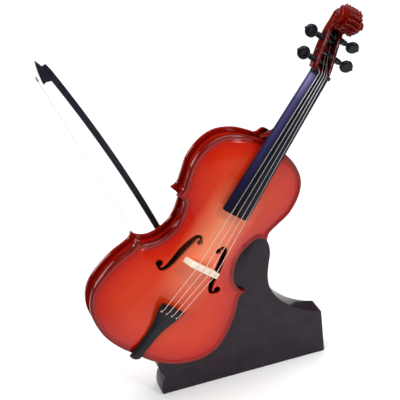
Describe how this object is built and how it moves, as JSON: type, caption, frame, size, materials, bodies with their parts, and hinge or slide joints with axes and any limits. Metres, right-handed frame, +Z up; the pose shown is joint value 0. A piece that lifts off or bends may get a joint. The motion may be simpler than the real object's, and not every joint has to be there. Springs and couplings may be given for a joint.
{
  "type": "miniature cello on a stand",
  "caption": "Ornamental miniature cello, glossy red with black fittings, leaning in a black board stand with its bow propped behind it.",
  "frame": {"origin": "middle of the stand board's underside, on the surface it rests on", "axes": "+Z up, +X along the stand board towards the neck's end, -Y the side that the cello's front faces"},
  "size_m": [0.1769, 0.0423, 0.21],
  "materials": {
    "red_varnish": "high gloss varnish",
    "black_fittings": "gloss black paint",
    "black_lacquer": "high gloss lacquer",
    "bow_black": "satin black paint",
    "pale_maple": "bare wood",
    "plain_spruce": "bare wood",
    "string_wire": "bare wire",
    "nickel": "plated",
    "white_hair": "straight hair"
  },
  "bodies": {
    "base": {"stand": "black_lacquer", "bow_holder": "black_lacquer"},
    "cello": {"front_plate": "red_varnish", "back_plate": "red_varnish", "rib_lower_left": "red_varnish", "rib_lower_right": "red_varnish", "rib_waist_left": "red_varnish", "rib_waist_right": "red_varnish", "rib_upper_left": "red_varnish", "rib_upper_right": "red_varnish", "neck_scroll": "red_varnish", "corner_block_lower_left": "plain_spruce", "corner_block_lower_right": "plain_spruce", "corner_block_upper_left": "plain_spruce", "corner_block_upper_right": "plain_spruce", "neck_block": "plain_spruce", "tail_block": "plain_spruce", "bass_bar": "plain_spruce", "sound_post": "plain_spruce", "fingerboard": "black_fittings", "nut": "black_fittings", "tailpiece": "black_fittings", "bridge": "pale_maple", "string_1": "string_wire", "string_2": "string_wire", "string_3": "string_wire", "string_4": "string_wire"},
    "bow": {"bow_stick": "bow_black", "bow_frog": "bow_black", "bow_ferrule": "nickel", "bow_hair": "white_hair"},
    "peg_low_left": {"peg_low_left": "black_fittings"},
    "peg_low_right": {"peg_low_right": "black_fittings"},
    "peg_high_left": {"peg_high_left": "black_fittings"},
    "peg_high_right": {"peg_high_right": "black_fittings"}
  },
  "joints": [
    {"name": "cello_lift", "type": "slide", "parent": "base", "child": "cello", "axis": [-0.7649, 0, 0.6441], "range_m": [0, 0.06]},
    {"name": "bow_lift", "type": "slide", "parent": "base", "child": "bow", "axis": [-0.3616, 0, 0.9323], "range_m": [0, 0.03]},
    {"name": "peg_low_left_turn", "type": "hinge", "parent": "cello", "child": "peg_low_left", "pos_m": [0.06145, -0.0081, 0.18192], "axis": [0.7649, 0, -0.6441], "continuous": true},
    {"name": "peg_low_right_turn", "type": "hinge", "parent": "cello", "child": "peg_low_right", "pos_m": [0.06448, -0.0063, 0.18552], "axis": [0.7649, 0, -0.6441], "continuous": true},
    {"name": "peg_high_left_turn", "type": "hinge", "parent": "cello", "child": "peg_high_left", "pos_m": [0.06893, -0.0021, 0.1908], "axis": [0.7649, 0, -0.6441], "continuous": true},
    {"name": "peg_high_right_turn", "type": "hinge", "parent": "cello", "child": "peg_high_right", "pos_m": [0.07092, -0.0009, 0.19317], "axis": [0.7649, 0, -0.6441], "continuous": true}
  ]
}
